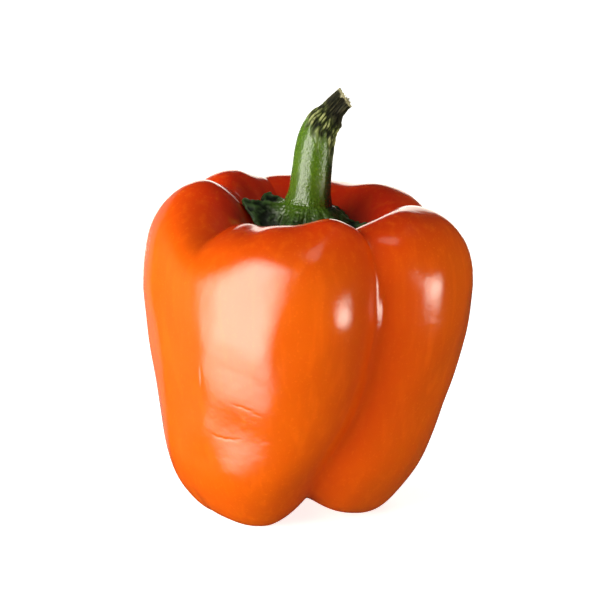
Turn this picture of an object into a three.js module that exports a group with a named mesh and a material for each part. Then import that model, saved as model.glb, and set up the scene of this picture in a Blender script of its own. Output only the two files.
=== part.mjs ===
// An orange bell pepper: the fruit, and the green calyx and stem that grew out of its crown.
// Millimetres, +Z up. The fruit stands on its feet at z = 0 and its front faces -Y.
import * as THREE from 'three';

// The five lobes, in turn round the fruit, anticlockwise seen from above.
// shoulder and foot: reach from the axis. crown: height that the profile below is a share of.
// rise: how far the foot is raised. bearing and depth belong to the groove before the lobe, each at
// the foot, on the side and at the crown: degrees from +X, and a share of the way in to the core.
const LOBES = [
  {
    // front
    shoulder: 41.5, foot: 28.5, crown: 75.0, rise: -0.1,
    bearing: [210, 231, 217], depth: [0.02, 0.0, 0.155],
  },
  {
    // right
    shoulder: 41.5, foot: 28.5, crown: 76.0, rise: 0.2,
    bearing: [282, 301, 299], depth: [0.16, 0.185, 0.08],
  },
  {
    // back right
    shoulder: 41.0, foot: 25.0, crown: 77.5, rise: 0.0,
    bearing: [408, 387, 368], depth: [0.15, 0.05, 0.14],
  },
  {
    // back left
    shoulder: 41.5, foot: 24.0, crown: 80.0, rise: 0.2,
    bearing: [468, 473, 475], depth: [0.12, 0.05, 0.03],
  },
  {
    // left
    shoulder: 39.5, foot: 28.0, crown: 81.0, rise: -0.1,
    bearing: [512, 513, 514], depth: [0.1, 0.04, 0.09],
  },
];

// Soft furrows over the crown, inside a lobe: place across the lobe from 0 to 1, depth as a share of
// the way to the core, and half-width across the lobe. A negative depth is a swelling.
const FURROWS = [
  { lobe: 0, place: 0.27, depth: 0.05, width: 0.13 },
  { lobe: 0, place: 0.8, depth: -0.055, width: 0.14 },
  { lobe: 2, place: 0.55, depth: 0.05, width: 0.16 },
];

// Profile of a lobe from the middle of the underside, round the foot, up the side and over the crown
// to the dimple that holds the calyx. Each point is [share of the foot's reach, share of the
// shoulder's reach, share of the crown's height, height in mm].
const PROFILE = [
  [0, 0, 0, 8],
  [0.25, 0, 0, 6],
  [0.55, 0, 0, -1.8],
  [0.87, 0, 0, -1],
  [1.15, 0, 0.15, 0],
  [0.7, 0.37, 0.26, 0],
  [0.4, 0.66, 0.45, 0],
  [0.1, 0.945, 0.64, 0],
  [0, 1.04, 0.82, 0],
  [0, 0.95, 0.98, 0],
  [0, 0.635, 1.07, 0],
  [0, 0.46, 1, 0],
  [0, 0.32, 0.92, 0],
  [0, 0.15, 0.9, 0],
  [0, 0, 0.9, 0],
];
const PROFILE_END = PROFILE.length - 1;

// Where the foot, the side and the crown begin and end along the profile, in profile points.
const FOOT_STARTS = [0, 2];
const FOOT_TO_SIDE = [3, 6];
const SIDE_TO_CROWN = [8, 10];
const CROWN_ENDS = [11, 14];
const FURROWS_START = [8.8, 10.2];
const TURN_TO_SIDE = [3, 6.5];
const TURN_TO_CROWN = [7.5, 10.5];
const DIMPLE_EVENNESS = 0.7;

const CORE_HEIGHT = 42;
const GROOVE_ROUNDING = [0.1, 0.2, 0.08];
const GROOVE_SLOPE = [0.9, 0.85, 0.6];
const LEAN = { x: -4.4, y: 4.4, height: 80, power: 1.6 };

// Calyx and stem
const CALYX_GAP = 0.6;
const TOOTH_COUNT = 6;
const TOOTH_BEARING = 186;
const TOOTH_THICKNESS = 1.5;
const CALYX_EDGE = 11.72;
const TOOTH_LENGTH = 0.24;
const CALYX_SAG = { share: 0.45, drop: 1.0 };
const STEM_FLARE = { share: 0.25, drop: 1.4 };
const STEM_RIDGES = { count: 6, height: 0.04, bearing: 264 };
// Points of the stem's middle line, each [x, z, radius]; the line lies in the plane y = 0.
const STEM_LINE = [
  [0.4, 78.5, 6.0],
  [0.7, 81.0, 5.2],
  [1.2, 87.0, 5.0],
  [2.0, 94.0, 4.9],
  [3.6, 98.4, 4.2],
  [6.2, 101.6, 2.6],
  [9.8, 105.2, 2.6],
];

// Fineness of the facets
const COLUMNS_PER_LOBE = 12;
const GROOVE_CROWDING = 0.5;
const FRUIT_ROWS = 36;
const UNDER_ROWS = 5;
const CALYX_ROWS = 5;
const STEM_ROWS = 11;

const SKIN_ORANGE = new THREE.MeshStandardMaterial({ color: 0xf06000, roughness: 0.28, metalness: 0 });
const STEM_GREEN = new THREE.MeshStandardMaterial({ color: 0x5a8c28, roughness: 0.5, metalness: 0 });

const { smoothstep, lerp, degToRad } = THREE.MathUtils;

function weigh(values, weights) {
  return values.reduce((sum, value, k) => sum + value * weights[k], 0);
}

// Value of a uniform cubic B-spline at a place counted in control points. An even spline levels out
// at its ends; one that runs through its ends is carried on straight there.
function spline(values, place, throughEnds) {
  const last = values.length - 1;
  const start = Math.min(Math.floor(place), last - 1);
  const f = place - start;
  const beyond = (end, inner) => (throughEnds ? 2 * values[end] - values[inner] : values[inner]);
  const before = start === 0 ? beyond(0, 1) : values[start - 1];
  const after = start + 2 > last ? beyond(last, last - 1) : values[start + 2];
  const weights = [(1 - f) ** 3, 3 * f ** 3 - 6 * f ** 2 + 4, -3 * f ** 3 + 3 * f ** 2 + 3 * f + 1, f ** 3];
  return weigh([before, values[start], values[start + 1], after], weights) / 6;
}

// How much of a place on the profile counts as foot, as side and as crown.
function zoneShares(place) {
  const side = smoothstep(place, ...FOOT_TO_SIDE);
  const crown = smoothstep(place, ...SIDE_TO_CROWN);
  const foot = smoothstep(place, ...FOOT_STARTS) * (1 - side);
  return [foot, side * (1 - crown), crown * (1 - smoothstep(place, ...CROWN_ENDS))];
}

// A lobe's own value in its middle, half of it and half of its neighbour's at a groove.
function acrossLobe(column, key) {
  const { lobe, across } = column;
  const neighbour = LOBES[(lobe + (across < 0.5 ? LOBES.length - 1 : 1)) % LOBES.length];
  const own = 0.75 - 0.25 * Math.cos(2 * Math.PI * across);
  return lerp(neighbour[key], LOBES[lobe][key], own);
}

// Bearing of a column at the foot, on the side and at the crown, in degrees.
function columnBearings({ lobe, across }) {
  const next = LOBES[(lobe + 1) % LOBES.length];
  const fullTurn = lobe === LOBES.length - 1 ? 360 : 0;
  return LOBES[lobe].bearing.map((from, zone) => lerp(from, next.bearing[zone] + fullTurn, across));
}

// How much smaller the fruit is there than a smooth one, because of the grooves and furrows.
function groovedScale({ lobe, across }, place) {
  const shares = zoneShares(place);
  const total = Math.max(shares[0] + shares[1] + shares[2], 1e-6);
  const next = LOBES[(lobe + 1) % LOBES.length];
  const towardsNext = 0.5 - 0.5 * Math.cos(Math.PI * across);
  const depths = LOBES[lobe].depth.map((depth, zone) => lerp(depth, next.depth[zone], towardsNext));
  const rounding = weigh(GROOVE_ROUNDING, shares) / total;
  const swell = Math.hypot(Math.sin(Math.PI * across), rounding) - rounding;
  const fullest = Math.hypot(1, rounding) - rounding;
  const bump = Math.max(swell / fullest, 0) ** (weigh(GROOVE_SLOPE, shares) / total);
  const furrows = FURROWS.filter((furrow) => furrow.lobe === lobe);
  const furrowed = furrows.reduce(
    (sum, furrow) => sum + furrow.depth * Math.exp(-(((across - furrow.place) / furrow.width) ** 2)),
    0,
  );
  const crowned = shares[2] * smoothstep(place, ...FURROWS_START);
  return 1 - weigh(depths, shares) * (1 - bump) - furrowed * crowned;
}

// A point of the fruit's skin, for a column that follows its lobe and a place along the profile.
function fruitPoint(column, place) {
  const foot = acrossLobe(column, 'foot');
  const shoulder = acrossLobe(column, 'shoulder');
  const crown = acrossLobe(column, 'crown');
  const meanCrown = LOBES.reduce((sum, lobe) => sum + lobe.crown, 0) / LOBES.length;
  const evenness = (row) => ({ [PROFILE_END]: 1, [PROFILE_END - 1]: DIMPLE_EVENNESS })[row] ?? 0;
  const reaches = PROFILE.map(([ofFoot, ofShoulder]) => foot * ofFoot + shoulder * ofShoulder);
  const heights = PROFILE.map(
    ([, , ofCrown, height], row) => lerp(crown, meanCrown, evenness(row)) * ofCrown + height,
  );
  const scale = groovedScale(column, place);
  const reach = spline(reaches, place, true) * scale;
  const smoothHeight = spline(heights, place, false) + acrossLobe(column, 'rise') * zoneShares(place)[0];
  const height = CORE_HEIGHT + (smoothHeight - CORE_HEIGHT) * scale;

  const bearings = columnBearings(column);
  const atSide = lerp(bearings[0], bearings[1], smoothstep(place, ...TURN_TO_SIDE));
  const bearing = degToRad(lerp(atSide, bearings[2], smoothstep(place, ...TURN_TO_CROWN)));
  const lean = THREE.MathUtils.clamp(1 - height / LEAN.height, 0, 1) ** LEAN.power;
  return new THREE.Vector3(
    reach * Math.cos(bearing) + LEAN.x * lean,
    reach * Math.sin(bearing) + LEAN.y * lean,
    Math.max(height, 0),
  );
}

// Columns round the fruit, closer together beside the grooves.
function makeColumns() {
  return LOBES.flatMap((_, lobe) =>
    Array.from({ length: COLUMNS_PER_LOBE }, (__, k) => {
      const even = k / COLUMNS_PER_LOBE;
      return { lobe, across: even - (GROOVE_CROWDING * Math.sin(2 * Math.PI * even)) / (2 * Math.PI) };
    }),
  );
}

// Closed skin from a lowest point, rings that run anticlockwise from there on, and a last point.
function closedSkin(first, rings, last) {
  const count = rings[0].length;
  const points = [first, ...rings.flat(), last];
  const at = (ring, k) => 1 + ring * count + (k % count);
  const faces = [];
  for (let k = 0; k < count; k += 1) {
    faces.push(0, at(0, k + 1), at(0, k));
    for (let ring = 0; ring + 1 < rings.length; ring += 1) {
      faces.push(at(ring, k), at(ring, k + 1), at(ring + 1, k + 1));
      faces.push(at(ring, k), at(ring + 1, k + 1), at(ring + 1, k));
    }
    faces.push(at(rings.length - 1, k), at(rings.length - 1, k + 1), points.length - 1);
  }
  const geometry = new THREE.BufferGeometry().setFromPoints(points);
  geometry.setIndex(faces);
  geometry.computeVertexNormals();
  return geometry;
}

function makeFruit(columns) {
  const rings = Array.from({ length: FRUIT_ROWS - 1 }, (_, row) => {
    const place = ((row + 1) * PROFILE_END) / FRUIT_ROWS;
    return columns.map((column) => fruitPoint(column, place));
  });
  const fruit = new THREE.Mesh(
    closedSkin(fruitPoint(columns[0], 0), rings, fruitPoint(columns[0], PROFILE_END)),
    SKIN_ORANGE,
  );
  fruit.name = 'fruit';
  return fruit;
}

// A ring of the stem, square to its middle line, with soft ridges down its length.
function stemRing(place, bearings) {
  const at = (key, where) => spline(STEM_LINE.map((point) => point[key]), where, true);
  const step = 0.01;
  const from = Math.max(place - step, 0);
  const to = Math.min(place + step, STEM_LINE.length - 1);
  const along = new THREE.Vector3(at(0, to) - at(0, from), 0, at(1, to) - at(1, from)).normalize();
  const sideways = new THREE.Vector3(along.z, 0, -along.x);
  const back = new THREE.Vector3(0, 1, 0);
  const middle = new THREE.Vector3(at(0, place), 0, at(1, place));
  return bearings.map((bearing) => {
    const turned = bearing - degToRad(STEM_RIDGES.bearing);
    const radius = at(2, place) * (1 + STEM_RIDGES.height * Math.cos(STEM_RIDGES.count * turned));
    return middle
      .clone()
      .addScaledVector(sideways, radius * Math.cos(bearing))
      .addScaledVector(back, radius * Math.sin(bearing));
  });
}

// The calyx lies along the fruit's dimple with toothed edges and runs up into the stem.
function makeStemCalyx(columns) {
  const bearings = columns.map((column) => degToRad(columnBearings(column)[2]));
  const edgePlaces = bearings.map(
    (bearing) => CALYX_EDGE - TOOTH_LENGTH * Math.cos(TOOTH_COUNT * (bearing - degToRad(TOOTH_BEARING))),
  );
  const clear = new THREE.Vector3(0, 0, CALYX_GAP);
  const underside = Array.from({ length: UNDER_ROWS }, (_, row) =>
    columns.map((column, k) =>
      fruitPoint(column, lerp(PROFILE_END, edgePlaces[k], (row + 1) / UNDER_ROWS)).add(clear),
    ),
  );
  const edge = underside.at(-1).map((point) => point.clone().setZ(point.z + TOOTH_THICKNESS));

  const stem = Array.from({ length: STEM_ROWS }, (_, row) =>
    stemRing((row * (STEM_LINE.length - 1)) / (STEM_ROWS - 1), bearings),
  );
  const slopes = edge.map((outer, k) => {
    const inner = stem[0][k];
    const sag = outer.clone().lerp(inner, CALYX_SAG.share).setZ(outer.z - CALYX_SAG.drop);
    const flare = inner.clone().lerp(outer, STEM_FLARE.share).setZ(inner.z - STEM_FLARE.drop);
    return new THREE.CubicBezierCurve3(outer, sag, flare, inner);
  });
  const top = Array.from({ length: CALYX_ROWS - 1 }, (_, row) =>
    slopes.map((slope) => slope.getPoint((row + 1) / CALYX_ROWS)),
  );

  const cutEnd = stem.at(-1).reduce((sum, point) => sum.add(point), new THREE.Vector3());
  cutEnd.divideScalar(columns.length);
  const start = fruitPoint(columns[0], PROFILE_END).add(clear);
  const skin = closedSkin(start, [...underside, edge, ...top, ...stem], cutEnd);
  const stemCalyx = new THREE.Mesh(skin, STEM_GREEN);
  stemCalyx.name = 'stem_calyx';
  return stemCalyx;
}

const columns = makeColumns();
const pepper = new THREE.Group();
pepper.add(makeFruit(columns), makeStemCalyx(columns));

// The origin goes to the middle of the footprint.
const middle = new THREE.Box3().setFromObject(pepper).getCenter(new THREE.Vector3());
pepper.position.set(-middle.x, -middle.y, 0);

export default pepper;
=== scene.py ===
"""An orange bell pepper standing on a pale floor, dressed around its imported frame.

Shapes are worked out in millimetres, as the solids are, and the meshes are made in metres.
"""

import math

import bpy
import numpy as np
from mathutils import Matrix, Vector


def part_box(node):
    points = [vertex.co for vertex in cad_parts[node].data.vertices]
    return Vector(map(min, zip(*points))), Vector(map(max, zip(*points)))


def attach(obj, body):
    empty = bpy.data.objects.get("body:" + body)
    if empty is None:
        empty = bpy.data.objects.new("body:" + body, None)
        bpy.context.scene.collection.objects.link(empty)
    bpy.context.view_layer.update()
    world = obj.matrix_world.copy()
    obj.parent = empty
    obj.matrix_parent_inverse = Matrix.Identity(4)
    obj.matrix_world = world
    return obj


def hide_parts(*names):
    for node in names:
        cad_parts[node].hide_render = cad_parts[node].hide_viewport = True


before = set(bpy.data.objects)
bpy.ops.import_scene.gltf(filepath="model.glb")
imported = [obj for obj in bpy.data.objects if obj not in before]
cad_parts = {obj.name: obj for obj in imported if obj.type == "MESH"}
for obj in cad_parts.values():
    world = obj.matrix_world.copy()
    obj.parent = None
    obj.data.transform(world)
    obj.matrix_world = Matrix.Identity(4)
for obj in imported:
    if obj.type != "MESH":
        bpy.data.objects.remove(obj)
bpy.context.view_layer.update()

MM = 0.001

# The five lobes in turn: front, right, back right, back left and left.
# Bearing and depth belong to the groove before each lobe: at the foot, on the side and at the crown.
SHOULDER = np.array([41.5, 41.5, 41.0, 41.5, 39.5])
FOOT = np.array([28.5, 28.5, 25.0, 24.0, 28.0])
CROWN = np.array([75.0, 76.0, 77.5, 80.0, 81.0])
RISE = np.array([-0.1, 0.2, 0.0, 0.2, -0.1])
GROOVE_BEARING = np.array([
    (210, 231, 217),
    (282, 301, 299),
    (408, 387, 368),
    (468, 473, 475),
    (512, 513, 514),
])
GROOVE_DEPTH = np.array([
    (0.02, 0.0, 0.155),
    (0.16, 0.185, 0.08),
    (0.15, 0.05, 0.14),
    (0.12, 0.05, 0.03),
    (0.1, 0.04, 0.09),
])
LOBE_COUNT = len(SHOULDER)

# Soft furrows over the crown: lobe, place across it, depth, half-width. A negative depth is a swelling.
# The solid has all but the last, which is only about 1 mm deep.
FURROWS = [
    (0, 0.27, 0.05, 0.13),
    (0, 0.8, -0.055, 0.14),
    (2, 0.55, 0.05, 0.16),
    (0, 0.11, 0.025, 0.08),
]

# Profile from the middle of the underside to the dimple under the calyx, each point
# (share of the foot's reach, share of the shoulder's reach, share of the crown's height, height).
PROFILE = np.array([
    (0, 0, 0, 8),
    (0.25, 0, 0, 6),
    (0.55, 0, 0, -1.8),
    (0.87, 0, 0, -1),
    (1.15, 0, 0.15, 0),
    (0.7, 0.37, 0.26, 0),
    (0.4, 0.66, 0.45, 0),
    (0.1, 0.945, 0.64, 0),
    (0, 1.04, 0.82, 0),
    (0, 0.95, 0.98, 0),
    (0, 0.635, 1.07, 0),
    (0, 0.46, 1, 0),
    (0, 0.32, 0.92, 0),
    (0, 0.15, 0.9, 0),
    (0, 0, 0.9, 0),
])
PROFILE_END = len(PROFILE) - 1
FOOT_STARTS = (0, 2)
FOOT_TO_SIDE = (3, 6)
SIDE_TO_CROWN = (8.0, 10.0)
CROWN_ENDS = (11, 14)
FURROWS_START = (8.8, 10.2)
TURN_TO_SIDE = (3, 6.5)
TURN_TO_CROWN = (7.5, 10.5)
DIMPLE_EVENNESS = 0.7
CORE_HEIGHT = 42.0
GROOVE_ROUNDING = np.array([0.1, 0.2, 0.08])
GROOVE_SLOPE = np.array([0.9, 0.85, 0.6])
LEAN = (-4.4, 4.4)
LEAN_HEIGHT = 80.0
LEAN_POWER = 1.6

# Where on the profile the painted shade sets in, darker and redder over the crown and in the dimple. A groove
# this deep has the full painted shade of the grooves.
CROWN_SHADE_STARTS = (8.2, 10.6)
DIMPLE_SHADE_STARTS = (9.9, 11.4)
DEEP_GROOVE = 0.16

# Skin relief, in mm
WAVE_DEPTH = 0.5
WAVE_LENGTHS = (10.0, 26.0)
WAVE_COUNT = 18
PLEAT_DEPTH = 0.03
PLEAT_COUNT = 23
PLEATS_START = (9.8, 11.2)
CREASE_SAMPLES = 40
CREASE_WANDER = 0.012
CREASE_BENDS = 7
# Rows of the mesh lie closer together where most of the creases are.
CREASED_PLACE = 5.8
CREASED_SPREAD = 0.6
CREASED_CROWDING = 2
CROWDING_SAMPLES = 2000
# Fine creases in the skin: lobe, where it starts and ends (across, place), bow in place, depth, half-width.
CREASES = [
    (0, (0.12, 5.40), (0.30, 5.42), -0.04, 0.08, 0.28),
    (0, (0.21, 6.05), (0.37, 5.93), 0.05, 0.065, 0.30),
    (0, (0.015, 6.62), (0.012, 6.25), 0.02, 0.10, 0.30),
    (4, (0.70, 10.25), (0.76, 11.20), 0.10, -0.12, 1.20),
    (1, (0.03, 8.25), (0.02, 7.55), 0.04, 0.25, 0.70),
    (2, (0.35, 6.30), (0.50, 6.22), 0.06, 0.22, 0.60),
    (3, (0.45, 7.10), (0.44, 6.40), 0.05, 0.20, 0.60),
]

# Calyx and stem
CALYX_GAP = 0.15
TOOTH_COUNT = 6
TOOTH_BEARING = 186
TOOTH_THICKNESS = 1.5
EDGE_ROUNDING = 0.45
CALYX_EDGE = 11.72
TOOTH_LENGTH = 0.24
# How far the tip of each tooth stands off the skin, anticlockwise from the left one.
TOOTH_LIFTS = np.array([0.2, 0.2, 0.4, 0.1, 0.3, 0.4])
CALYX_SAG = (0.45, 1.0)
STEM_FLARE = (0.25, 1.4)
STEM_RIDGE_COUNT = 10
STEM_RIDGE_HEIGHT = 0.006
STEM_RIDGE_BEARING = 271
# Points of the stem's middle line: x, height, radius.
STEM_LINE = np.array([
    (0.4, 78.5, 6.0),
    (0.7, 81.0, 5.2),
    (1.2, 87.0, 5.0),
    (2.0, 94.0, 4.9),
    (3.6, 98.4, 4.2),
    (6.2, 101.6, 2.6),
    (9.8, 105.2, 2.6),
])
# Place along the line where the stem was broken off, and where it has dried and gone dark.
STEM_CUT = 5.88
CUT_SLANT = -0.55
CUT_FACE = 0.12
DRY_STARTS = (3.0, 3.8)
DRY_SLANT = 0.5
DRY_RAGGEDNESS = 0.5
TIP_STARTS = (4.4, 5.0)
TIP_SLANT = 0.3
KNUCKLE = {"place": 4.5, "width": 0.42, "height": 1.0}
# Jags round the broken end: height, how many, and how far they are turned.
JAGS = [(0.15, 5, 1), (0.15, 9, 2.2), (0.1, 14, 0)]
JAGGED_LENGTH = 0.6
CAP_SHARES = (0.8, 0.5, 0.2)
CAP_RECESS = 0.6
# The side of the stem that is turned to the right has painted shade, a darker green.
SHADE_STARTS = (0.55, 0.88)

# Parts of the calyx's top, from 0 at its edge to 1 at the stem. The collar ends on the stem.
LEAF_EDGE_ENDS = (0.0, 0.15)
LEAF_ENDS = (0.35, 1.0)
COLLAR_STARTS = (0.2, 0.7)
COLLAR_ENDS = (0.1, 1.1)
# The relief's patterns are drawn on the calyx and stem rolled out to a tube of this size.
TUBE_RADIUS = 5
CALYX_LENGTH = 2.0
# Heights of the patterns in the relief, in mm
LEAF_RELIEF = {"crinkles": 0.22, "pleats": 0.16, "small": 0.14, "ribs": 0.2, "veins": 0.12}
LEAF_LEVEL = -0.15
COLLAR_RELIEF = {"small": 0.06, "pleats": 0.05}
GREEN_LUMPS = 0.05
GREEN_LEVEL = -0.02
DRY_RELIEF = 0.28
DRY_LEVEL = -0.1
# How matt a leaf is beside the dry end, and how far the relief and a leaf's edge count as crests. Crests get
# painted light and the relief's valleys get painted shade.
LEAF_MATTNESS = 0.8
CREST_RELIEF = 1.5
CREST_EDGE = 0.3

# Torn fibres at the broken end, in mm, and spans of what is drawn for each. They grow on these columns of
# the rim, counted from its right side.
FIBRE_SEED = 21
FIBRE_COUNT = 30
FIBRE_COLUMNS = (-96, 72)
FIBRE_RADIUS = 0.17
FIBRE_SIDES = 5
FIBRE_RINGS = (0.0, 0.35, 0.7)
FIBRE_TAPER = 0.6
FIBRE_ROOTS = (0.55, 0.97)
FIBRE_ROOT_DEPTH = 0.5
FIBRE_SPLAY = (-0.2, 0.5)
FIBRE_LENGTHS = (0.6, 1.3)
FIBRE_BEND = 0.35

# Fineness of the meshes
FRUIT_COLUMNS_PER_LOBE = 96
FRUIT_ROWS = 380
STEM_COLUMNS = 288
UNDER_ROWS = 10
EDGE_ROWS = 5
CALYX_ROWS = 44
STEM_ROWS = 190

# Camera, as the photograph was taken
CAMERA_ELEVATION = 13.1
CAMERA_DISTANCE = 650.0
CAMERA_AIM_HEIGHT = 51.9
FOCAL_PIXELS = 2600.0
IMAGE_PIXELS = 614
SENSOR_MM = 36.0

# Light, in metres and degrees. A direction is an azimuth and an elevation.
# Stacked lamps, whose reflections have soft edges: name, shape, direction, turn about the beam,
# size of the first step, size that the steps shrink towards, radiance of all steps together.
STACKED_LAMPS = [
    ("key", "RECTANGLE", (-47.5, 5), -11, (0.80, 1.66), (0.22, 0.84), 4.8),
    ("spot", "ELLIPSE", (65, -8), 0, (0.50, 0.31), (0.11, 0.09), 4.6),
]
SOFT_EDGE_STEPS = 7
STACK_DISTANCE = 0.7
STACK_SPACING = 0.01
# Lamps that the skin reflects, then lamps that only light it: name, shape, direction, distance, size,
# radiance.
REFLECTED_LAMPS = [
    ("overhead", "ELLIPSE", (33, 66), 0.8, (0.26, 0.26), 0.55),
    ("back", "RECTANGLE", (180, 4), 1.7, (0.9, 1.0), 2.3),
    ("back_left", "RECTANGLE", (-155, 0), 1.72, (1.1, 1.3), 0.24),
]
FILL_LAMPS = [
    ("key_fill", "RECTANGLE", (-46, 5), 0.7, (0.5, 1.0), 1.9),
    ("fill", "RECTANGLE", (65, -8), 0.75, (0.3, 0.3), 12.5),
    ("bounce", "RECTANGLE", (-108, -6), 0.7, (0.7, 0.8), 5.0),
    ("top_fill", "RECTANGLE", (105, 60), 0.8, (0.3, 0.3), 3.0),
    ("back_fill", "RECTANGLE", (165, -5), 0.9, (0.8, 0.6), 1.8),
]
LAMP_COLOUR = (1.0, 0.98, 0.86)
LAMP_AIM_HEIGHT = 0.045
WORLD_STRENGTH = 0.025
FLOOR_HALF_WIDTH = 4.0


def ramp(value, span):
    """0 before the span, 1 after it, and a smooth rise between."""
    share = np.clip((value - span[0]) / (span[1] - span[0]), 0, 1)
    return share * share * (3 - 2 * share)


def mix(a, b, share):
    return a + (b - a) * share


def spline(control, place, through_ends):
    """Uniform cubic B-spline of each row of control values, at places counted in control values."""
    first, second = control[:, :1], control[:, 1:2]
    last, next_last = control[:, -1:], control[:, -2:-1]
    before = 2 * first - second if through_ends else second
    after = 2 * last - next_last if through_ends else next_last
    padded = np.concatenate([before, control, after], axis=1)
    padded = np.broadcast_to(padded, (len(place), padded.shape[1]))
    start = np.clip(np.floor(place).astype(int), 0, control.shape[1] - 2)
    f = place - start
    weights = ((1 - f) ** 3, 3 * f**3 - 6 * f**2 + 4, -3 * f**3 + 3 * f**2 + 3 * f + 1, f**3)
    return sum(w * np.take_along_axis(padded, start + k, axis=1) for k, w in enumerate(weights)) / 6


def zone_shares(place):
    """How much of a place on the profile counts as foot, as side and as crown."""
    side = ramp(place, FOOT_TO_SIDE)
    crown = ramp(place, SIDE_TO_CROWN)
    foot = ramp(place, FOOT_STARTS) * (1 - side)
    return np.stack([foot, side * (1 - crown), crown * (1 - ramp(place, CROWN_ENDS))], axis=-1)


def across_lobe(values, lobe, across):
    """A lobe's own value in its middle, the mean of it and its neighbour's at a groove."""
    neighbour = np.where(across < 0.5, lobe - 1, lobe + 1) % LOBE_COUNT
    return mix(values[neighbour], values[lobe], 0.75 - 0.25 * np.cos(2 * np.pi * across))


def column_bearings(lobe, across):
    """Bearings of columns in degrees, at the foot, on the side and at the crown."""
    following = GROOVE_BEARING[(lobe + 1) % LOBE_COUNT] + 360 * (lobe == LOBE_COUNT - 1)[:, None]
    return mix(GROOVE_BEARING[lobe], following, across[:, None])


def groove_swell(across, shares):
    """0 in the bottom of a groove, 1 in the middle of a lobe."""
    total = np.maximum(shares.sum(axis=-1), 1e-6)
    rounding = shares @ GROOVE_ROUNDING / total
    slope = shares @ GROOVE_SLOPE / total
    rise = np.hypot(np.sin(np.pi * across)[:, None], rounding) - rounding
    return np.maximum(rise / (np.hypot(1, rounding) - rounding), 0) ** slope


def groove_dips(lobe, across, shares):
    """How far the grooves draw the skin towards the core, as a share of its distance."""
    towards_next = (0.5 - 0.5 * np.cos(np.pi * across))[:, None]
    depths = mix(GROOVE_DEPTH[lobe], GROOVE_DEPTH[(lobe + 1) % LOBE_COUNT], towards_next)
    return (shares * depths[:, None, :]).sum(axis=-1) * (1 - groove_swell(across, shares))


def fruit_points(lobe, across, place):
    """Points of the smooth skin in mm: columns (lobe and place across it) by places on the profile."""
    foot = across_lobe(FOOT, lobe, across)[:, None]
    shoulder = across_lobe(SHOULDER, lobe, across)[:, None]
    crown = across_lobe(CROWN, lobe, across)[:, None]
    evenness = np.zeros(PROFILE_END + 1)
    evenness[-2:] = DIMPLE_EVENNESS, 1
    reaches = foot * PROFILE[:, 0] + shoulder * PROFILE[:, 1]
    heights = mix(crown, CROWN.mean(), evenness) * PROFILE[:, 2] + PROFILE[:, 3]

    shares = zone_shares(place)
    scale = 1 - groove_dips(lobe, across, shares)
    for furrow_lobe, furrow_place, depth, width in FURROWS:
        inside = (lobe == furrow_lobe) * np.exp(-(((across - furrow_place) / width) ** 2))
        scale = scale - depth * inside[:, None] * shares[..., 2] * ramp(place, FURROWS_START)

    reach = spline(reaches, place, True) * scale
    height = spline(heights, place, False) + across_lobe(RISE, lobe, across)[:, None] * shares[..., 0]
    height = CORE_HEIGHT + (height - CORE_HEIGHT) * scale
    bearings = column_bearings(lobe, across)
    at_side = mix(bearings[:, :1], bearings[:, 1:2], ramp(place, TURN_TO_SIDE))
    bearing = np.radians(mix(at_side, bearings[:, 2:], ramp(place, TURN_TO_CROWN)))
    lean = np.clip(1 - height / LEAN_HEIGHT, 0, 1) ** LEAN_POWER
    x = reach * np.cos(bearing) + LEAN[0] * lean
    y = reach * np.sin(bearing) + LEAN[1] * lean
    return np.stack([x, y, height], axis=-1)


def soft_waves(points, seed, count, lengths):
    """Smooth irregular waves from -1 to 1 over the given points."""
    draw = np.random.default_rng(seed)
    total = np.zeros(points.shape[:-1])
    for _ in range(count):
        direction = draw.normal(size=3)
        direction = direction / np.linalg.norm(direction)
        turns = 2 * np.pi / draw.uniform(*lengths)
        total += np.sin(points @ direction * turns + draw.uniform(0, 2 * np.pi))
    return np.clip(total / math.sqrt(2 * count), -1, 1)


def ring_normals(points):
    """Outward normals of a stack of anticlockwise rings (rings, columns, 3)."""
    around = np.roll(points, -1, axis=1) - np.roll(points, 1, axis=1)
    along = np.gradient(points, axis=0)
    normals = np.cross(around, along)
    return normals / np.maximum(np.linalg.norm(normals, axis=-1, keepdims=True), 1e-9)


def crease_depths(points):
    """Depth of the fine creases over the skin's points, in mm."""
    depths = np.zeros(points.shape[:-1])
    along = np.linspace(0, 1, CREASE_SAMPLES)
    for lobe, start, end, bow, depth, width in CREASES:
        across = mix(start[0], end[0], along)
        wander = bow * np.sin(np.pi * along) + CREASE_WANDER * np.sin(CREASE_BENDS * np.pi * along)
        place = mix(start[1], end[1], along) + wander
        line = fruit_points(np.full(CREASE_SAMPLES, lobe), across, place[:, None])[:, 0]
        near = np.linalg.norm(points - line.mean(axis=0), axis=-1) < np.ptp(line, axis=0).max() + 4 * width
        distance = np.linalg.norm(points[near][:, None] - line, axis=-1)
        dents = np.sin(np.pi * along) ** 0.5 * np.exp(-((distance / width) ** 2))
        depths[near] += depth * dents.max(axis=1)
    return depths


def make_mesh(name, first, rings, last, layers):
    """A closed smooth mesh from a first point, anticlockwise rings and a last point, with point layers."""
    ring_count, columns = rings.shape[:2]
    points = np.concatenate([first[None], rings.reshape(-1, 3), last[None]]) * MM
    index = 1 + np.arange(ring_count * columns).reshape(ring_count, columns)
    turned = np.roll(index, -1, axis=1)
    quads = np.stack([index[:-1], turned[:-1], turned[1:], index[1:]], axis=-1).reshape(-1, 4)
    bottom = np.stack([np.zeros(columns, int), turned[0], index[0]], axis=-1)
    top = np.stack([index[-1], turned[-1], np.full(columns, len(points) - 1)], axis=-1)
    mesh = bpy.data.meshes.new(name)
    mesh.from_pydata(points.tolist(), [], bottom.tolist() + quads.tolist() + top.tolist())
    mesh.shade_smooth()
    for layer, values in layers.items():
        flat = np.concatenate([values[0, :1], values.ravel(), values[-1, :1]])
        attribute = mesh.attributes.new(layer, "FLOAT", "POINT")
        attribute.data.foreach_set("value", flat.astype(np.float32))
    return mesh


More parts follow.
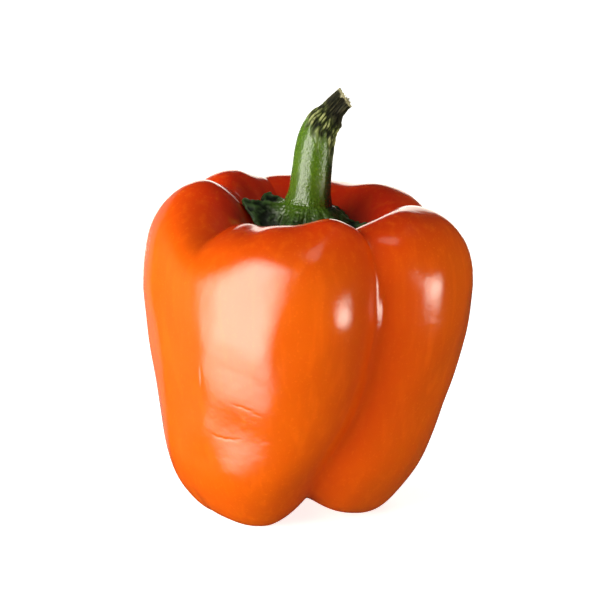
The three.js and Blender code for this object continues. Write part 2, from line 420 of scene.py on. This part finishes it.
def add_piece(name, mesh, material, node=None):
    """A piece on the only body, with its material, which may stand for a node of the frame."""
    piece = bpy.data.objects.new(name, mesh)
    bpy.context.scene.collection.objects.link(piece)
    mesh.materials.append(material)
    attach(piece, "root")
    if node:
        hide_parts(node)


def fit_to_frame(points):
    """Scale and shift that set the fruit's points, in mm, into the CAD fruit's box."""
    low, high = (np.array(corner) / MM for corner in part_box("fruit"))
    own_low, own_high = points.min(axis=(0, 1)), points.max(axis=(0, 1))
    scale = min(1.0, ((high - low) / (own_high - own_low)).min())
    shift = (low + high) / 2 - scale * (own_low + own_high) / 2
    shift[2] = 0
    return scale, shift


def fruit_rings():
    """Rings of the skin with its relief, in mm, and its layers for the material."""
    even = np.arange(FRUIT_COLUMNS_PER_LOBE) / FRUIT_COLUMNS_PER_LOBE
    lobe = np.repeat(np.arange(LOBE_COUNT), FRUIT_COLUMNS_PER_LOBE)
    across = np.tile(even - 0.5 * np.sin(2 * np.pi * even) / (2 * np.pi), LOBE_COUNT)
    steps = np.linspace(0, PROFILE_END, CROWDING_SAMPLES)
    creased = np.exp(-(((steps - CREASED_PLACE) / CREASED_SPREAD) ** 2))
    crowding = np.cumsum(1 + CREASED_CROWDING * creased)
    places = np.interp(np.linspace(0, crowding[-1], FRUIT_ROWS + 2)[1:-1], crowding, steps)
    place = np.broadcast_to(places, (len(lobe), FRUIT_ROWS))
    smooth = fruit_points(lobe, across, place)
    rings = smooth.transpose(1, 0, 2)
    shares = zone_shares(place)
    crown = shares[..., 2].T
    bearing = np.radians(column_bearings(lobe, across)[:, 2])

    pleats = 0.5 + 0.5 * np.cos(PLEAT_COUNT * bearing + 2 * np.sin(3 * bearing))
    waves = 0.5 + 0.5 * soft_waves(rings, 3, WAVE_COUNT, WAVE_LENGTHS)
    pleated = crown * ramp(place, PLEATS_START).T
    relief = -WAVE_DEPTH * waves - PLEAT_DEPTH * pleats * pleated - crease_depths(rings)
    dressed = rings + ring_normals(rings) * relief[..., None]
    dressed[..., 2] = np.maximum(dressed[..., 2], 0)
    # Layers of painted shade: darker, redder skin over the crown, in the dimple and in the grooves.
    layers = {
        "dimple_shade": ramp(place, DIMPLE_SHADE_STARTS).T,
        "groove": np.clip(groove_dips(lobe, across, shares).T / DEEP_GROOVE, 0, 1),
        "crown": ramp(place, CROWN_SHADE_STARTS).T,
    }
    return dressed, layers


def stem_rings(bearing):
    """Smooth rings of the stem square to its middle line, each ring's place, and its end's direction."""
    place = np.linspace(0, STEM_CUT, STEM_ROWS)
    x, height, radius = (spline(STEM_LINE[None, :, k], place[None], True)[0] for k in range(3))
    lean = np.arctan2(np.gradient(x), np.gradient(height))
    turned = STEM_RIDGE_COUNT * (bearing - math.radians(STEM_RIDGE_BEARING))
    knuckle = KNUCKLE["height"] * np.exp(-(((place - KNUCKLE["place"]) / KNUCKLE["width"]) ** 2))
    ridges = 1 + STEM_RIDGE_HEIGHT * np.cos(turned)
    reach = radius[:, None] * ridges + knuckle[:, None] * np.maximum(np.cos(bearing), 0) ** 2
    sideways = reach * np.cos(bearing)
    points = np.stack(
        [
            x[:, None] + sideways * np.cos(lean)[:, None],
            reach * np.sin(bearing),
            height[:, None] - sideways * np.sin(lean)[:, None],
        ],
        axis=-1,
    )
    return points, place, np.array([math.sin(lean[-1]), 0, math.cos(lean[-1])])


def crown_columns(bearing_degrees):
    """Lobe and place across it that lie at these bearings on the crown."""
    start = GROOVE_BEARING[0, 2]
    turned = start + (bearing_degrees - start) % 360
    edges = np.append(GROOVE_BEARING[:, 2], start + 360)
    lobe = np.searchsorted(edges, turned, side="right") - 1
    return lobe, (turned - edges[lobe]) / (edges[lobe + 1] - edges[lobe])


def calyx_rings(bearing, stem_base):
    """Rings of the calyx from the middle of its underside, round its edge and in to the stem's base."""
    lobe, across = crown_columns(np.degrees(bearing))
    from_tooth = bearing - math.radians(TOOTH_BEARING)
    tooth = np.cos(TOOTH_COUNT * from_tooth)
    nearest = np.round(from_tooth * TOOTH_COUNT / (2 * np.pi)).astype(int) % TOOTH_COUNT
    lift = TOOTH_LIFTS[nearest] * (0.5 + 0.5 * tooth)
    outward = np.linspace(0, 1, UNDER_ROWS + 1)[1:]
    places = mix(PROFILE_END, (CALYX_EDGE - TOOTH_LENGTH * tooth)[:, None], outward)
    underside = fruit_points(lobe, across, places).transpose(1, 0, 2)
    underside[..., 2] += CALYX_GAP + lift * outward[:, None] ** 3

    low_edge = underside[-1]
    high_edge = low_edge + [0, 0, TOOTH_THICKNESS]
    away = (low_edge - stem_base) * [1, 1, 0]
    away = away / np.linalg.norm(away, axis=-1, keepdims=True)
    turn = np.linspace(0, np.pi, EDGE_ROWS + 2)[1:-1, None, None]
    edge = mix(low_edge, high_edge, 0.5 - 0.5 * np.cos(turn)) + EDGE_ROUNDING * np.sin(turn) * away

    sag = mix(high_edge, stem_base, CALYX_SAG[0])
    sag[:, 2] = high_edge[:, 2] - CALYX_SAG[1]
    flare = mix(stem_base, high_edge, STEM_FLARE[0])
    flare[:, 2] = stem_base[:, 2] - STEM_FLARE[1]
    s = np.linspace(0, 1, CALYX_ROWS + 1)[:-1, None, None]
    outer = (1 - s) ** 3 * high_edge + 3 * (1 - s) ** 2 * s * sag
    inner = 3 * (1 - s) * s**2 * flare + s**3 * stem_base
    return underside, edge, outer + inner


def by_ring(under, calyx, stem):
    """A value for each ring: the same up to the calyx's edge, then those of its top and of the stem."""
    return np.concatenate([np.full(UNDER_ROWS + EDGE_ROWS, under), calyx, stem])[:, None]


def stem_patterns(rings, bearing, run):
    """Patterns from about -1 to 1 for the relief of the calyx and stem."""
    tube = (TUBE_RADIUS * np.cos(bearing), TUBE_RADIUS * np.sin(bearing), run)
    tube = np.stack(np.broadcast_arrays(*tube), axis=-1)
    from_tooth = bearing - math.radians(TOOTH_BEARING)
    lumps = soft_waves(rings, 7, 14, (3.0, 9.0))
    return {
        "ragged": soft_waves(rings * [1, 1, 0.4], 11, 14, (1.6, 6.0)),
        "lumps": lumps,
        "crinkles": 1 - 2 * np.abs(soft_waves(rings, 5, 20, (1.8, 5.5))),
        "small": 1 - 2 * np.abs(soft_waves(rings * [1, 1, 1.8], 8, 20, (1.2, 3.2))),
        "striae": 2 * np.abs(soft_waves(tube, 9, 24, (0.8, 2.4))) - 1,
        "wrinkles": 2 * np.abs(soft_waves(tube * [1, 1, 2.0], 10, 24, (0.9, 3.0))) - 1,
        "pleats": 2 * np.abs(soft_waves(tube * [2.2, 2.2, 1.4], 13, 24, (0.9, 3.0))) - 1,
        "ribs": np.maximum(np.cos(TOOTH_COUNT * from_tooth), 0) ** 5,
        "veins": np.maximum(np.cos(3 * TOOTH_COUNT * from_tooth + 1.5 * lumps), 0) ** 3,
    }


def stem_calyx_rings():
    """Rings of the calyx and stem with their relief, in mm, their layers, and the stem's cut end."""
    bearing = np.arange(STEM_COLUMNS) * 2 * np.pi / STEM_COLUMNS
    stem, stem_place, onward = stem_rings(bearing)
    underside, edge, top = calyx_rings(bearing, stem[0])
    rings = np.concatenate([underside, edge, top, stem])
    inward = np.linspace(0, 1, CALYX_ROWS)
    not_stem = np.zeros(STEM_ROWS)
    along = by_ring(0, np.zeros(CALYX_ROWS), stem_place)
    run = by_ring(-CALYX_LENGTH, np.linspace(-CALYX_LENGTH, 0, CALYX_ROWS), stem_place)
    leafy = by_ring(1, 1 - ramp(inward, LEAF_ENDS), not_stem)
    leaf_edge = by_ring(1, 1 - ramp(inward, LEAF_EDGE_ENDS), not_stem)
    collar = by_ring(0, ramp(inward, COLLAR_STARTS), 1 - ramp(stem_place, COLLAR_ENDS))
    on_top = np.concatenate([np.zeros(UNDER_ROWS), np.ones(len(rings) - UNDER_ROWS)])[:, None]

    pattern = stem_patterns(rings, bearing, run)
    to_right = np.cos(bearing)[None]
    dried = along + DRY_SLANT * to_right + DRY_RAGGEDNESS * pattern["ragged"]
    dry = ramp(dried, DRY_STARTS) * (1 - leafy)
    tip = ramp(along + TIP_SLANT * to_right, TIP_STARTS)
    on_leaf = sum(height * pattern[name] for name, height in LEAF_RELIEF.items()) + LEAF_LEVEL
    on_collar = sum(height * pattern[name] for name, height in COLLAR_RELIEF.items())
    on_green = GREEN_LUMPS * pattern["lumps"] + GREEN_LEVEL
    on_dry = DRY_RELIEF * mix(pattern["wrinkles"], pattern["striae"], tip) + DRY_LEVEL
    fresh = leafy * on_leaf + collar * on_collar + (1 - leafy) * on_green
    relief = on_top * (fresh * (1 - dry) + dry * on_dry)
    dressed = rings + ring_normals(rings) * relief[..., None]

    jags = sum(height * np.cos(count * bearing + turn) for height, count, turn in JAGS)
    jags = jags + CUT_SLANT * np.cos(bearing)
    dressed = dressed + (ramp(along, (STEM_CUT - JAGGED_LENGTH, STEM_CUT)) * jags)[..., None] * onward
    rim = dressed[-1]
    middle = rim.mean(axis=0)
    cap = np.stack([mix(middle, rim, share) - onward * CAP_RECESS * (1 - share**2) for share in CAP_SHARES])
    layers = {
        "dry": dry,
        "tip": tip,
        "leafy": leafy,
        "matte": np.maximum(dry, LEAF_MATTNESS * leafy),
        # Painted light on the relief's crests and the leaves' edges, painted shade in its valleys.
        "crest": np.clip(0.5 + CREST_RELIEF * relief + CREST_EDGE * on_top * leaf_edge, 0, 1),
        # Painted shade on the stem's right side.
        "shade": ramp(to_right, SHADE_STARTS) * (1 - leafy),
        "cut": ramp(along, (STEM_CUT - CUT_FACE, STEM_CUT)),
    }
    for name, values in layers.items():
        layers[name] = np.pad(np.broadcast_to(values, rings.shape[:2]), ((0, len(cap)), (0, 0)), "edge")
    return np.concatenate([dressed, cap]), layers, (rim, middle, onward)


def fibre_mesh(rim, middle, onward):
    """Torn fibres that stand out of the stem's cut end, as thin bent tubes that taper to a point."""
    draw = np.random.default_rng(FIBRE_SEED)
    points, faces = [], []
    turns = np.arange(FIBRE_SIDES) * 2 * np.pi / FIBRE_SIDES
    across = np.array([0.0, 1.0, 0.0])
    upward = np.cross(onward, across)
    for _ in range(FIBRE_COUNT):
        outer = rim[draw.integers(*FIBRE_COLUMNS)]
        root = mix(middle, outer, draw.uniform(*FIBRE_ROOTS)) - onward * FIBRE_ROOT_DEPTH
        outward = (outer - middle) / np.linalg.norm(outer - middle)
        heading = onward + outward * draw.uniform(*FIBRE_SPLAY)
        length = draw.uniform(*FIBRE_LENGTHS)
        bend = draw.normal(size=3) * FIBRE_BEND
        first = len(points)
        for share in FIBRE_RINGS:
            at = root + heading * length * share + bend * share**2
            radius = FIBRE_RADIUS * (1 - FIBRE_TAPER * share)
            points += [at + radius * (np.cos(turn) * across + np.sin(turn) * upward) for turn in turns]
        points.append(root + heading * length + bend)
        for k in range(FIBRE_SIDES):
            after = (k + 1) % FIBRE_SIDES
            for ring in (0, FIBRE_SIDES):
                corners = (k, after, after + FIBRE_SIDES, k + FIBRE_SIDES)
                faces.append(tuple(first + ring + corner for corner in corners))
            faces.append((first + 2 * FIBRE_SIDES + k, first + 2 * FIBRE_SIDES + after, len(points) - 1))
        faces.append(tuple(first + FIBRE_SIDES - 1 - k for k in range(FIBRE_SIDES)))
    return np.array(points), faces


def add_node(tree, kind, inputs=None, **settings):
    """A shader node with its settings; an input is a value or the output that feeds it."""
    node = tree.nodes.new(kind)
    for key, value in settings.items():
        setattr(node, key, value)
    for key, value in (inputs or {}).items():
        if isinstance(value, bpy.types.NodeSocket):
            tree.links.new(value, node.inputs[key])
        else:
            node.inputs[key].default_value = value
    return node


def new_material(name):
    material = bpy.data.materials.new(name)
    material.use_nodes = True
    tree = material.node_tree
    return material, tree, tree.nodes["Principled BSDF"]


def object_noise(tree, scale, detail=3.0, stretch=(1, 1, 1)):
    """Noise over the object's own coordinates; scale is in features per metre."""
    coordinates = add_node(tree, "ShaderNodeTexCoord")
    mapping = add_node(tree, "ShaderNodeMapping", {"Vector": coordinates.outputs["Object"], "Scale": stretch})
    noise = add_node(
        tree, "ShaderNodeTexNoise", {"Vector": mapping.outputs["Vector"], "Scale": scale, "Detail": detail}
    )
    return noise.outputs["Fac"]


def layer(tree, name):
    """One of the mesh's point layers."""
    return add_node(tree, "ShaderNodeAttribute", attribute_name=name).outputs["Fac"]


def map_range(tree, value, low, high, to_low=0.0, to_high=1.0):
    inputs = {"Value": value, "From Min": low, "From Max": high, "To Min": to_low, "To Max": to_high}
    return add_node(tree, "ShaderNodeMapRange", inputs).outputs["Result"]


def mix_colour(tree, share, a, b):
    """A mix of two colours; its sockets go by number, because the node repeats their names."""
    node = add_node(tree, "ShaderNodeMix", data_type="RGBA")
    for socket, value in ((node.inputs[0], share), (node.inputs[6], a), (node.inputs[7], b)):
        if isinstance(value, bpy.types.NodeSocket):
            tree.links.new(value, socket)
        else:
            socket.default_value = value if isinstance(value, float) else (*value, 1.0)
    return node.outputs[2]


def multiply(tree, a, b):
    return add_node(tree, "ShaderNodeMath", {0: a, 1: b}, operation="MULTIPLY").outputs[0]


def skin_material():
    """Waxy orange skin with faint streaks and ripples, and painted shade: darker and redder over the crown,
    in the dimple and in the grooves.
    """
    material, tree, shader = new_material("pepper_skin")
    clouds = object_noise(tree, 55.0)
    streaks = object_noise(tree, 420.0, 2.0, (1, 1, 0.06))
    speckle = object_noise(tree, 1500.0, 1.0)
    lower = mix_colour(tree, clouds, (0.60, 0.080, 0.0005), (0.70, 0.108, 0.0009))
    crown_shaded = mix_colour(tree, clouds, (0.61, 0.018, 0.0002), (0.71, 0.028, 0.0004))
    # Painted shade: the crown is darker and redder than the skin below it.
    colour = mix_colour(tree, layer(tree, "crown"), lower, crown_shaded)
    colour = mix_colour(tree, map_range(tree, streaks, 0.5, 0.8, 0.0, 0.3), colour, (0.93, 0.16, 0.004))
    colour = mix_colour(tree, map_range(tree, speckle, 0.62, 0.75, 0.0, 0.2), colour, (0.95, 0.2, 0.01))
    # Painted shade in the dimple: darker and redder.
    colour = mix_colour(tree, multiply(tree, layer(tree, "dimple_shade"), 0.7), colour, (0.46, 0.018, 0.001))
    # Painted shade in the grooves: darker and redder, the more so the deeper the groove.
    colour = mix_colour(tree, multiply(tree, layer(tree, "groove"), 0.5), colour, (0.50, 0.022, 0.001))
    roughness = map_range(tree, speckle, 0.3, 0.7, 0.13, 0.20)
    ripples = object_noise(tree, 260.0, 3.0)
    bump = add_node(tree, "ShaderNodeBump", {"Height": ripples, "Strength": 0.15, "Distance": 0.0006})
    tree.links.new(colour, shader.inputs["Base Color"])
    tree.links.new(roughness, shader.inputs["Roughness"])
    tree.links.new(bump.outputs["Normal"], shader.inputs["Normal"])
    shader.inputs["IOR"].default_value = 1.9
    shader.inputs["Subsurface Weight"].default_value = 0.2
    shader.inputs["Subsurface Radius"].default_value = (1.0, 0.3, 0.08)
    shader.inputs["Subsurface Scale"].default_value = 0.003
    return material


def stem_material():
    """Satin green stem, dark wrinkled leaves, a dried end and a straw-coloured cut, with painted shade on the
    stem's right side and in the relief's valleys, and painted light on its crests.
    """
    material, tree, shader = new_material("pepper_stem")
    clouds = object_noise(tree, 180.0)
    grain = object_noise(tree, 1500.0, 3.0)
    flecks = object_noise(tree, 750.0, 2.0, (1, 1, 0.6))
    # The crest layer gives painted shade in the relief's valleys and painted light on its crests and the
    # leaves' edges.
    crest = layer(tree, "crest")
    green = mix_colour(tree, clouds, (0.034, 0.085, 0.002), (0.072, 0.145, 0.004))
    green = mix_colour(tree, map_range(tree, grain, 0.5, 0.8, 0.0, 0.45), green, (0.16, 0.28, 0.008))
    # Painted shade: the stem's right side is darkened.
    green = mix_colour(tree, multiply(tree, layer(tree, "shade"), 0.95), green, (0.006, 0.010, 0.002))
    leaf = mix_colour(tree, map_range(tree, crest, 0.3, 0.95), (0.002, 0.006, 0.002), (0.045, 0.095, 0.025))
    colour = mix_colour(tree, layer(tree, "leafy"), green, leaf)
    husk = mix_colour(tree, map_range(tree, crest, 0.0, 0.25), (0.006, 0.008, 0.002), (0.065, 0.085, 0.018))
    husk = mix_colour(tree, map_range(tree, crest, 0.3, 0.75), husk, (0.30, 0.32, 0.13))
    tip = mix_colour(tree, map_range(tree, crest, 0.0, 0.7), (0.003, 0.003, 0.001), (0.055, 0.052, 0.025))
    husk = mix_colour(tree, layer(tree, "tip"), husk, tip)
    husk = mix_colour(tree, map_range(tree, flecks, 0.48, 0.62, 0.0, 0.8), husk, (0.004, 0.005, 0.002))
    colour = mix_colour(tree, layer(tree, "dry"), colour, husk)
    colour = mix_colour(tree, layer(tree, "cut"), colour, (0.50, 0.46, 0.27))
    roughness = map_range(tree, layer(tree, "matte"), 0.0, 1.0, 0.26, 0.6)
    gloss = map_range(tree, layer(tree, "matte"), 0.0, 1.0, 0.9, 0.15)
    coarseness = map_range(tree, layer(tree, "leafy"), 0.0, 1.0, 0.45, 0.2)
    bump = add_node(tree, "ShaderNodeBump", {"Height": grain, "Strength": coarseness, "Distance": 0.0004})
    tree.links.new(colour, shader.inputs["Base Color"])
    tree.links.new(roughness, shader.inputs["Roughness"])
    tree.links.new(gloss, shader.inputs["Specular IOR Level"])
    tree.links.new(bump.outputs["Normal"], shader.inputs["Normal"])
    shader.inputs["IOR"].default_value = 1.6
    return material


def fibre_material():
    material, tree, shader = new_material("stem_fibre")
    tone = object_noise(tree, 900.0)
    colour = mix_colour(tree, map_range(tree, tone, 0.3, 0.7), (0.30, 0.26, 0.13), (0.66, 0.62, 0.42))
    tree.links.new(colour, shader.inputs["Base Color"])
    shader.inputs["Roughness"].default_value = 0.7
    return material


def make_floor():
    """A pale floor that glows a little, so that it is white round the pepper, and lights nothing."""
    material, tree, shader = new_material("floor")
    tone = map_range(tree, object_noise(tree, 3.0), 0.3, 0.7)
    colour = mix_colour(tree, tone, (0.90, 0.90, 0.90), (0.93, 0.93, 0.93))
    tree.links.new(colour, shader.inputs["Base Color"])
    shader.inputs["Roughness"].default_value = 0.9
    shader.inputs["Emission Color"].default_value = (1.0, 1.0, 1.0, 1.0)
    shader.inputs["Emission Strength"].default_value = 0.8
    half = FLOOR_HALF_WIDTH
    corners = [(-half, -half, 0), (half, -half, 0), (half, half, 0), (-half, half, 0)]
    mesh = bpy.data.meshes.new("floor")
    mesh.from_pydata(corners, [], [(0, 1, 2, 3)])
    mesh.materials.append(material)
    floor = bpy.data.objects.new("floor", mesh)
    floor.visible_diffuse = False
    floor.visible_glossy = False
    floor.visible_shadow = False
    bpy.context.scene.collection.objects.link(floor)


def towards(azimuth, elevation):
    """Direction from the pepper; azimuth 0 is the camera's side, and positive is to its right."""
    a, e = math.radians(azimuth), math.radians(elevation)
    return Vector((math.sin(a) * math.cos(e), -math.cos(a) * math.cos(e), math.sin(e)))


def aim(thing, target):
    thing.rotation_euler = (target - thing.location).to_track_quat("-Z", "Y").to_euler()


def add_softbox(name, shape, direction, distance, size, radiance, turn=0, reflected=True):
    """A lamp aimed at the pepper; one that isn't reflected lights the skin without a highlight."""
    lamp = bpy.data.lights.new(name, "AREA")
    lamp.shape = shape
    lamp.color = LAMP_COLOUR
    lamp.size, lamp.size_y = size
    lamp.energy = radiance * math.pi * size[0] * size[1]
    softbox = bpy.data.objects.new(name, lamp)
    middle = Vector((0, 0, LAMP_AIM_HEIGHT))
    softbox.location = middle + distance * towards(*direction)
    aim(softbox, middle)
    softbox.rotation_euler.rotate_axis("Z", math.radians(turn))
    softbox.visible_glossy = reflected
    bpy.context.scene.collection.objects.link(softbox)


def add_stacked_softbox(name, shape, direction, turn, size, inner_size, radiance):
    """Lamps that shrink from step to step, so that the edges of their joint reflection are soft."""
    for step in range(SOFT_EDGE_STEPS):
        share = step / SOFT_EDGE_STEPS
        step_size = [mix(outer, inner, share) for outer, inner in zip(size, inner_size)]
        distance = STACK_DISTANCE + STACK_SPACING * step
        step_radiance = radiance / SOFT_EDGE_STEPS
        add_softbox(f"{name}_{step}", shape, direction, distance, step_size, step_radiance, turn)


def light_scene():
    """The broad window on the front lobe, the spots on the right, the lines on the crests, and fill."""
    for lamp in STACKED_LAMPS:
        add_stacked_softbox(*lamp)
    for lamp in REFLECTED_LAMPS:
        add_softbox(*lamp)
    for lamp in FILL_LAMPS:
        add_softbox(*lamp, reflected=False)
    world = bpy.data.worlds.new("studio")
    world.use_nodes = True
    background = world.node_tree.nodes["Background"]
    background.inputs["Color"].default_value = (1.0, 1.0, 1.0, 1.0)
    background.inputs["Strength"].default_value = WORLD_STRENGTH
    bpy.context.scene.world = world
    bpy.context.scene.view_settings.view_transform = "Standard"


def place_camera(axis):
    """The camera at the photograph's viewing angle, aimed at the fruit's axis, in mm."""
    camera = bpy.data.objects.new("camera", bpy.data.cameras.new("camera"))
    camera.data.sensor_width = SENSOR_MM
    camera.data.lens = SENSOR_MM * FOCAL_PIXELS / IMAGE_PIXELS
    target = Vector((axis[0], axis[1], CAMERA_AIM_HEIGHT)) * MM
    camera.location = target + CAMERA_DISTANCE * MM * towards(0, CAMERA_ELEVATION)
    aim(camera, target)
    bpy.context.scene.collection.objects.link(camera)
    bpy.context.scene.camera = camera


def make_pepper():
    """Makes the fruit, the calyx and stem, and returns where the fruit's axis stands, in mm."""
    rings, layers = fruit_rings()
    scale, shift = fit_to_frame(rings)
    lowest = np.array([*LEAN, PROFILE[0, 3]])
    dimple = np.array([0, 0, CROWN.mean() * PROFILE[-1, 2]])
    mesh = make_mesh("fruit", lowest * scale + shift, rings * scale + shift, dimple * scale + shift, layers)
    add_piece("pepper_fruit", mesh, skin_material(), "fruit")

    rings, layers, cut_end = stem_calyx_rings()
    start = dimple + [0, 0, CALYX_GAP]
    last = cut_end[1] - cut_end[2] * CAP_RECESS
    mesh = make_mesh("stem_calyx", start * scale + shift, rings * scale + shift, last * scale + shift, layers)
    add_piece("pepper_stem_calyx", mesh, stem_material(), "stem_calyx")

    points, faces = fibre_mesh(*cut_end)
    mesh = bpy.data.meshes.new("stem_fibres")
    mesh.from_pydata(((points * scale + shift) * MM).tolist(), [], faces)
    add_piece("stem_fibres", mesh, fibre_material())
    return shift


axis = make_pepper()
make_floor()
light_scene()
place_camera(axis)
